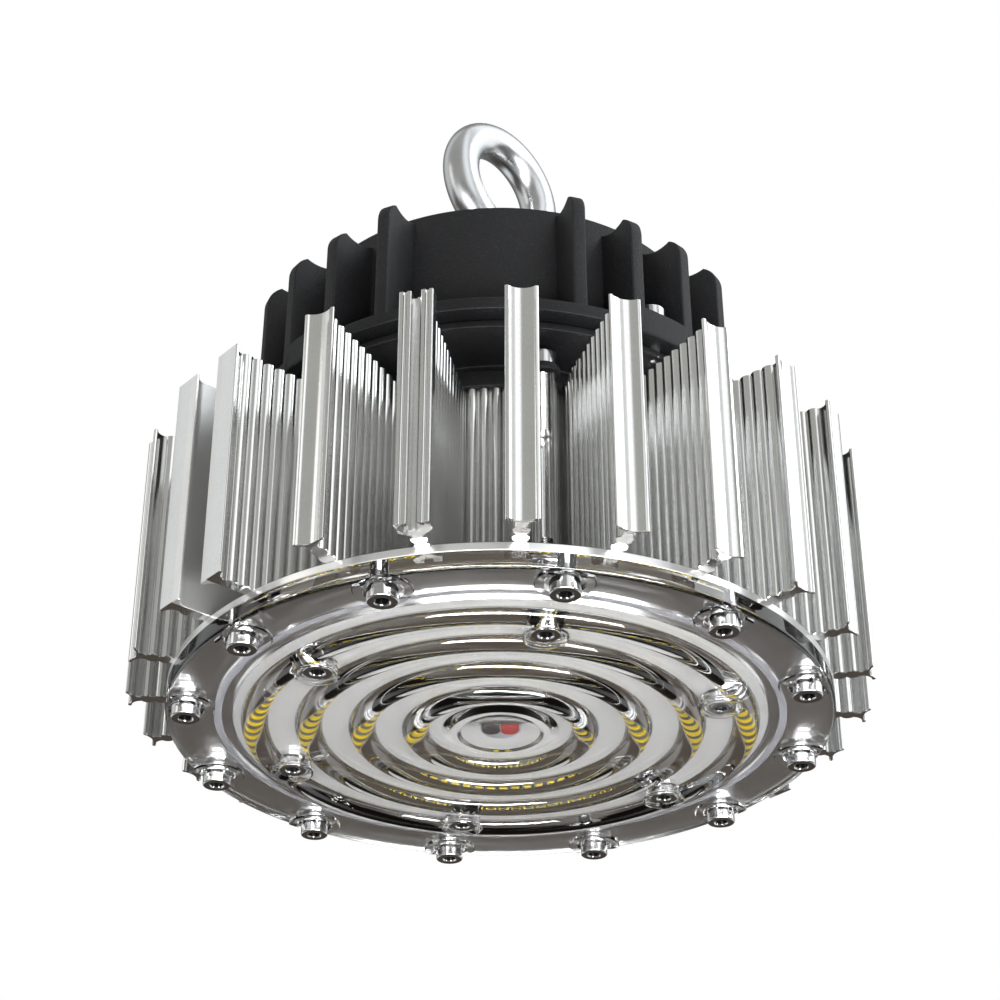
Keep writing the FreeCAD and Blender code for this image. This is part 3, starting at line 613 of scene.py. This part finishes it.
def makeEye():
    k = eye
    a = np.linspace(0, 2 * math.pi, 160, endpoint=False)[:, None]
    b = np.linspace(0, 2 * math.pi, 64, endpoint=False)[None]
    out = k["r"] + k["wire"] * np.cos(b)
    across = k["wire"] * np.sin(b) + 0 * a
    c, s = math.cos(math.radians(k["turn"])), math.sin(math.radians(k["turn"]))
    along = out * np.cos(a)
    grid = np.stack([along * c - across * s, along * s + across * c, k["centre"] + out * np.sin(a)], -1)
    ringPart = (grid.reshape(-1, 3), gridFaces(160, 64, True, True).tolist())
    seat = high("eye_washer")
    shankEnd, collarTop, ringFoot = turretTop - 10, seat + k["collarH"], k["centre"] - k["r"]
    collar = rounded([(0, shankEnd), (k["shankR"], shankEnd), (k["shankR"], seat), (k["collarR"], seat),
                      (k["collarR"], collarTop)], 0.5)[:-5]
    neck = pathOf((k["collarR"] - 0.8, collarTop), [
        (k["collarR"] - 2.5, collarTop + 0.1),
        ((k["wire"] + 1.6, collarTop + 1.4), (k["wire"] - 0.4, ringFoot)), (0, ringFoot)], 10)
    stem = np.concatenate([collar, neck])
    return buildPiece("eyeForged", [ringPart, lathe(stem, 96, False)], ["eye_bolt"], slotName="zinc")


leadEnd = {"r": 2.1, "apart": 4.3, "turn": 49.5}


def makeLeadEnds():
    # the leads' bare ends where they show through the crown of the lens
    k = leadEnd
    made = []
    for node, slotName, side in (("black_lead", "insul_black", -1), ("red_lead", "insul_red", 1)):
        spot = np.array(polar(side * k["apart"] / 2, k["turn"]))
        tip = prism(circle(k["r"], 40, spot), lensFace + 0.03, boardFace + 3.0, 0.08)
        tail = prism(circle(1.3, 32, spot), boardFace + 2.5, high(node), 0.1)
        made.append(buildPiece(node.replace("_lead", "LeadEnd"), [tip, tail], [node], slotName=slotName))
    return made


print("shapes defined")
pieces = {"lens": makeLens()}
print("lens:", len(pieces["lens"].data.polygons), "faces")
pieces["gasket"] = makeGasket()
pieces["plate"], pieces["board"] = makePlates()
pieces["extrusion"] = makeExtrusion()
print("extrusion:", len(pieces["extrusion"].data.polygons), "faces")
pieces["base"] = makeBase()
pieces["housing"] = makeHousing()
pieces["rim"] = screwSet("rimScrews", "lens_rim_screws", rimCircle, rimTurns)
pieces["inner"] = screwSet("innerScrews", "lens_inner_screws", innerCircle, innerTurns, thread=True)
pieces["foot"] = screwSet("footScrews", "foot_screws", innerCircle, footTurns, thread=True, headUp=True)
pieces["lug"] = screwSet("housingScrews", "housing_screws", lugCircle, lugTurns, headUp=True)
pieces["eye"] = makeEye()
pieces["blackLead"], pieces["redLead"] = makeLeadEnds()
print("pieces made:", len(pieces))


class Value:
    # a node's output that adds and multiplies like a number

    def __init__(self, tree, socket):
        self.tree, self.socket = tree, socket

    def maths(self, operation, *terms):
        return self.tree.node("ShaderNodeMath", {"operation": operation}, dict(enumerate(terms)))

    def __add__(self, other):
        return self.maths("ADD", self, other)

    def __sub__(self, other):
        return self.maths("SUBTRACT", self, other)

    def __rsub__(self, other):
        return self.maths("SUBTRACT", other, self)

    def __mul__(self, other):
        return self.maths("MULTIPLY", self, other)

    def __pow__(self, other):
        return self.maths("POWER", self, other)

    __radd__ = __add__
    __rmul__ = __mul__

    def absolute(self):
        return self.maths("ABSOLUTE", self)

    def fraction(self):
        return self.maths("FRACT", self)

    def sine(self):
        return self.maths("SINE", self)

    def angleFrom(self, x):
        # the angle of (x, self) about the origin
        return self.maths("ARCTAN2", self, x)

    def halfTurned(self):
        # brought back into the range from minus pi to pi
        return self.maths("WRAP", self, math.pi, -math.pi)

    def ramp(self, start, end, first=0.0, last=1.0):
        # a smooth step from first to last as the value goes from start to end
        return self.tree.node("ShaderNodeMapRange", {"interpolation_type": "SMOOTHSTEP"}, {
            "Value": self, "From Min": start, "From Max": end, "To Min": first, "To Max": last})


class Tree:
    # the nodes of one material or of the world

    def __init__(self, nodeTree):
        self.nodes, self.links = nodeTree.nodes, nodeTree.links

    def put(self, socket, value):
        if isinstance(value, Value):
            self.links.new(value.socket, socket)
        elif isinstance(value, tuple) and len(value) == 3 and socket.type == "RGBA":
            socket.default_value = (*value, 1.0)
        else:
            socket.default_value = value

    def node(self, kind, settings=None, inputs=None, output=0):
        made = self.nodes.new(kind)
        for key, value in (settings or {}).items():
            setattr(made, key, value)
        for key, value in (inputs or {}).items():
            self.put(made.inputs[key], value)
        return Value(self, made.outputs[output])

    def axes(self, vector):
        split = self.node("ShaderNodeSeparateXYZ", {}, {0: vector}).socket.node
        return [Value(self, axis) for axis in split.outputs]

    def mix(self, factor, first, second):
        return self.node("ShaderNodeMix", {"data_type": "RGBA"}, {0: factor, 6: first, 7: second}, 2)


class Shader(Tree):
    # one material; every texture is in the object's own coordinates, in metres

    def __init__(self, name, **constants):
        self.material = bpy.data.materials.new(name)
        self.material.use_nodes = True
        super().__init__(self.material.node_tree)
        self.feed(**constants)

    def feed(self, **inputs):
        for key, value in inputs.items():
            self.put(self.nodes["Principled BSDF"].inputs[socketNames[key]], value)
        return self.material

    def place(self):
        return self.node("ShaderNodeTexCoord", output="Object")

    def radius(self):
        # the distance from the light's axis, with the height
        x, y, z = self.axes(self.place())
        return (x * x + y * y) ** 0.5, z

    def stretched(self, scale):
        return self.node("ShaderNodeMapping", {}, {"Vector": self.place(), "Scale": scale})

    def noise(self, scale, detail=2.0, where=None):
        where = where or self.place()
        return self.node("ShaderNodeTexNoise", {}, {"Vector": where, "Scale": scale, "Detail": detail})

    def bump(self, height, distance, strength=1.0):
        return self.node("ShaderNodeBump", {}, {"Height": height, "Distance": distance, "Strength": strength})


socketNames = {"colour": "Base Color", "roughness": "Roughness", "metallic": "Metallic", "ior": "IOR",
               "transmission": "Transmission Weight", "specular": "Specular IOR Level", "normal": "Normal"}


def clearPlastic():
    s = Shader("clearPolycarbonate", colour=(1.0, 1.0, 1.0), roughness=0.0, ior=1.585, transmission=1.0)
    return s.material


def whiteMask():
    # white mask with painted shade: a dark blue-grey strip under each ring of diodes, where the board lies in
    # shade between them
    s = Shader("whiteSolderMask", roughness=0.35)
    r, height = s.radius()
    # painted shade: a band about each ring's radius
    shadeStrips = [(r - ring * mm).absolute().ramp(0.0018, 0.0021, 1.0, 0.0) for ring in lens["rings"]]
    white = s.mix(s.noise(900.0), (0.76, 0.765, 0.77), (0.82, 0.82, 0.82))
    return s.feed(colour=s.mix(sum(shadeStrips[1:], shadeStrips[0]), white, (0.10, 0.115, 0.135)))


def phosphor(count):
    # each diode: a yellow window in a dark blue-grey border of painted shade, count of them round the ring
    s = Shader("phosphor" + str(count), roughness=0.4)
    x, y, z = s.axes(s.place())
    share = y.angleFrom(x) * (count / (2 * math.pi)) + 0.5
    # painted shade round each window, between the diodes
    shadeBorderMask = (share.fraction() - 0.5).absolute().ramp(0.27, 0.31)
    yellow = s.mix(s.noise(1500.0), (0.74, 0.52, 0.012), (0.86, 0.66, 0.03))
    return s.feed(colour=s.mix(shadeBorderMask, yellow, (0.12, 0.135, 0.15)))


def turnedAluminium():
    # fine turning lines: noise that depends on the radius, and a little on the height
    s = Shader("plateAluminium", metallic=1.0)
    r, height = s.radius()
    lines = s.noise(1.0, 2.0, s.node("ShaderNodeCombineXYZ", {}, {0: r * 2600.0, 1: height * 300.0}))
    return s.feed(colour=(0.80, 0.80, 0.80), roughness=0.27 + 0.10 * lines,
                  normal=s.bump(lines, 0.000012, 0.3))


def extrudedAluminium():
    # die lines run up the extrusion; the flat walls of the two wide slots are matter than the lobed ones
    s = Shader("extrudedAluminium", metallic=1.0)
    lines = s.noise(1.0, 3.0, s.stretched((1800.0, 1800.0, 12.0)))
    cloud, grain = s.noise(60.0, 3.0), s.noise(2400.0, 1.0)
    matt = s.axes(s.place())[0].absolute().ramp(0.0066, 0.0069, 0.30, 0.0)
    return s.feed(colour=s.mix(cloud * 0.5 + grain * 0.5, (0.60, 0.60, 0.595), (0.80, 0.80, 0.79)),
                  roughness=0.12 + 0.12 * lines + matt,
                  normal=s.bump(lines * 0.5 + grain * 0.5, 0.00003, 0.4))


def screwSteel():
    # polished, with painted shade: dark colour within the hex sockets
    s = Shader("polishedSteel", metallic=1.0)
    # the socket attribute picks the faces that get the painted shade of the hex sockets
    socket = s.node("ShaderNodeAttribute", {"attribute_name": "socket"}, {}, 2)
    steel = s.mix(s.noise(500.0), (0.50, 0.50, 0.505), (0.58, 0.58, 0.585))
    return s.feed(colour=s.mix(socket, steel, (0.04, 0.041, 0.042)), roughness=0.14 + 0.2 * socket)


def blackCasting():
    # powder coat: fine pimples and a sprinkling of lighter flecks, their own tone tinted blue and brightened
    # as a painted glint of the cool key lamp
    s = Shader("blackPowderCoat", specular=0.18)
    pimples = s.noise(2600.0, 2.0)
    flecksAndGlints = s.noise(4200.0, 1.0).ramp(0.62, 0.78)
    # the flecks' blue and brightness are partly painted glint of the cool key lamp
    return s.feed(colour=s.mix(flecksAndGlints, (0.005, 0.005, 0.0055), (0.026, 0.030, 0.038)),
                  roughness=0.46 + 0.14 * pimples, normal=s.bump(pimples, 0.00012, 0.9))


def plainMaterial(name, colour, roughness, metallic=0.0, grainScale=900.0, spread=0.12):
    # one colour, mottled down by spread, with the roughness a tenth more or less
    s = Shader(name, metallic=metallic)
    grain = s.noise(grainScale, 2.0)
    darker = tuple(c * (1 - spread) for c in colour)
    return s.feed(colour=s.mix(grain, darker, colour), roughness=roughness * 0.9 + roughness * 0.2 * grain)


materials = {
    "clear_pc": clearPlastic(),
    "board_white": whiteMask(),
    "plate_alu": turnedAluminium(),
    "fin_alu": extrudedAluminium(),
    "black_cast": blackCasting(),
    "steel": screwSteel(),
    "zinc": plainMaterial("brightZinc", (0.54, 0.55, 0.56), 0.28, 1.0, 300.0, 0.08),
    "silicone_grey": plainMaterial("siliconeGrey", (0.50, 0.51, 0.56), 0.5),
    "black_rubber": plainMaterial("blackRubber", (0.016, 0.016, 0.017), 0.7),
    "black_plastic": plainMaterial("blackPlastic", (0.02, 0.02, 0.021), 0.4),
    "driver_green": plainMaterial("driverGreen", (0.03, 0.14, 0.05), 0.45),
    "core_yellow": plainMaterial("coreYellow", (0.72, 0.5, 0.06), 0.5),
    "can_black": plainMaterial("capacitorBlack", (0.03, 0.03, 0.035), 0.35),
    "terminal_grey": plainMaterial("terminalGrey", (0.3, 0.31, 0.32), 0.5),
    "insul_black": plainMaterial("insulationBlack", (0.03, 0.03, 0.033), 0.45),
    "insul_red": plainMaterial("insulationRed", (0.5, 0.03, 0.03), 0.45),
}
diodes = {"led_ring_" + str(i + 1): phosphor(count) for i, count in enumerate((35, 56, 78, 100))}


def wear(piece, material):
    piece.data.materials.clear()
    piece.data.materials.append(material)


def dress():
    # the made pieces by their slot, the CAD nodes by the slot that the record gives them
    for piece in pieces.values():
        wear(piece, materials[piece["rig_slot"]])
    for node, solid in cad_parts.items():
        if node in diodes:
            wear(solid, diodes[node])
        else:
            given = solid.data.materials[0].name
            wear(solid, materials[[slot for slot in materials if given.startswith(slot)][0]])


dress()
print("materials:", len(materials) + len(diodes))


scene = bpy.context.scene
scene.view_settings.view_transform = "Standard"
centre = Vector((-0.000065, -0.000076, 0.068))     # what the camera looks at, in metres
seen = Vector((0.3658, -0.3125, -0.2224))          # and where it stands
cameraData = bpy.data.cameras.new("camera")
cameraData.lens, cameraData.sensor_width = 79.247, 36.0
cameraData.clip_start, cameraData.clip_end = 0.05, 20.0
camera = bpy.data.objects.new("camera", cameraData)
camera.location = seen
camera.rotation_mode = "QUATERNION"
camera.rotation_quaternion = (centre - seen).to_track_quat("-Z", "Y")
scene.collection.objects.link(camera)
scene.camera = camera
sight = (centre - seen).normalized()
upward = Vector((0, 0, 1))
across = sight.cross(upward).normalized()
ahead = Vector((sight.x, sight.y, 0)).normalized()


def softbox(name, right, up, back, width, height, power, colour=(1, 1, 1)):
    # an area lamp placed from the object's middle: along the view's right, upwards and towards the camera
    spot = centre + across * right + upward * up - ahead * back
    data = bpy.data.lights.new(name, "AREA")
    data.shape, data.size, data.size_y = "RECTANGLE", width, height
    data.energy, data.color = power, colour
    lamp = bpy.data.objects.new(name, data)
    lamp.location = spot
    lamp.rotation_mode = "QUATERNION"
    lamp.rotation_quaternion = (centre - spot).to_track_quat("-Z", "Y")
    scene.collection.objects.link(lamp)
    lamp.visible_camera = False


softbox("keyRight", 0.75, 0.35, 0.25, 0.25, 0.9, 2.5, (0.92, 0.97, 1.0))
softbox("fillLeft", -0.8, 0.1, 0.3, 0.25, 0.8, 0.8, (1.0, 0.97, 0.93))
softbox("under", 0.1, -0.40, 0.5, 0.9, 0.16, 18.0)

# pale walls of the room: direction, half width and soft edge in degrees, and the light that each adds
studioWalls = [(-85.0, 70.0, 25.0, 0.26), (-15.0, 8.0, 12.0, 1.0), (16.0, 18.0, 14.0, 0.6),
               (60.0, 20.0, 10.0, 1.6), (-145.0, 12.0, 14.0, 0.45)]


def wallMask(turn, middle, half, edge):
    # 1 within half an angle of a direction round the room, falling to 0 over the edge
    away = (turn - math.radians(middle)).halfTurned().absolute()
    return away.ramp(math.radians(half), math.radians(half + edge), 1.0, 0.0)


def studioLevel(turn, z):
    # above the horizon the walls, and below it pale panels with dark gaps between them, sin(4 * turn) wide
    level = z.ramp(0.45, 0.95, 0.12, 0.2)
    for middle, half, edge, gain in studioWalls:
        level = level + wallMask(turn, middle, half, edge) * gain
    panels = (turn * 4.0 + math.radians(72.0)).sine().ramp(0.0, 0.8)
    band = z.ramp(-0.92, -0.62, 0.25, 1.0) * z.ramp(-0.22, -0.08, 1.0, 0.0)
    return level * z.ramp(-0.12, 0.02) + (panels * band * 1.3 + 0.09)


def makeStudio():
    # the camera sees plain white; every other ray sees the room, whose light depends on its direction alone
    world = bpy.data.worlds.new("studio")
    scene.world = world
    world.use_nodes = True
    s = Tree(world.node_tree)
    x, y, z = s.axes(s.node("ShaderNodeTexCoord", output="Generated"))
    level = studioLevel(y.angleFrom(x), z)
    cameraRay = s.node("ShaderNodeLightPath", output="Is Camera Ray")
    background = s.nodes["Background"]
    s.put(background.inputs["Strength"], cameraRay + (1.0 - cameraRay) * level)
    shade = s.mix(z.ramp(-0.15, 0.05), (1.0, 0.84, 0.70), (0.86, 0.94, 1.0))
    warm = s.mix(level.ramp(0.12, 0.35), shade, (1.0, 1.0, 0.95))
    cool = s.mix(level.ramp(0.5, 1.0), warm, (0.97, 0.99, 1.0))
    s.put(background.inputs["Color"], s.mix(cameraRay, cool, (1.0, 1.0, 1.0)))


def makeFloor(half, height):
    # a pale floor that keeps the object's shadow, and is out of sight of metal and clear plastic
    mesh = bpy.data.meshes.new("floor")
    corners = [(-half, -half, height), (half, -half, height), (half, half, height), (-half, half, height)]
    mesh.from_pydata(corners, [], [(0, 1, 2, 3)])
    floor = bpy.data.objects.new("floor", mesh)
    scene.collection.objects.link(floor)
    s = Shader("paleFloor", roughness=0.8)
    cameraRay = s.node("ShaderNodeLightPath", output="Is Camera Ray")
    mesh.materials.append(s.feed(colour=s.mix(cameraRay, (0.6, 0.6, 0.6), (0.85, 0.85, 0.85))))
    floor.visible_glossy = floor.visible_transmission = False
    return floor


makeStudio()
floor = makeFloor(3.0, -0.45)
print("studio lit")
